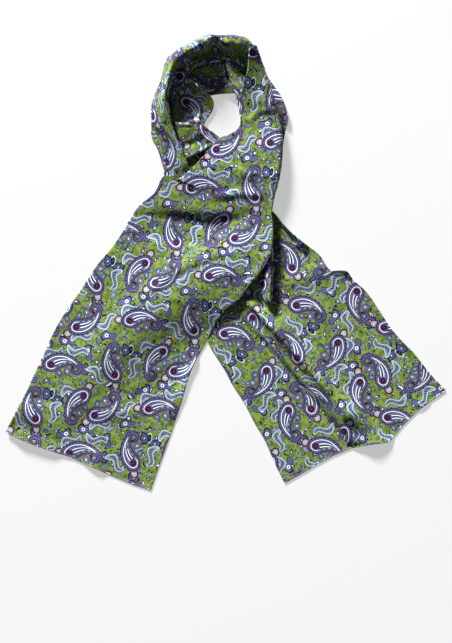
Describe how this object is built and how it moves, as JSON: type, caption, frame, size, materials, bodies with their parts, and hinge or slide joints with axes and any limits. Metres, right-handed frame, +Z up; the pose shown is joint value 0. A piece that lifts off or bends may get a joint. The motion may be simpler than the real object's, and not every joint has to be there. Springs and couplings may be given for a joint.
{
  "type": "silk scarf",
  "caption": "Long silk scarf with a green paisley print, laid flat in a neck loop with its two tails crossed and spread apart.",
  "frame": {"origin": "centre of the bounding box of the laid-out scarf, at the level of the surface it lies on", "axes": "+Z up from the surface, +Y towards the neck loop, +X towards the side of the tail that lies underneath"},
  "size_m": [0.7132, 0.7404, 0.0481],
  "materials": {
    "printed_silk": "printed silk twill with a soft sheen",
    "rolled_hem": "hand-rolled silk hem"
  },
  "bodies": {
    "root": {"front_tail": "printed_silk", "neck_right": "printed_silk", "under_tail": "printed_silk", "neck_lower": "printed_silk", "neck_left": "printed_silk", "neck_back": "printed_silk", "fold_upper": "printed_silk", "fold_back": "printed_silk", "fold_left": "printed_silk", "fold_front": "printed_silk", "front_tuck": "printed_silk", "front_hem": "rolled_hem", "under_hem": "rolled_hem"}
  },
  "joints": []
}
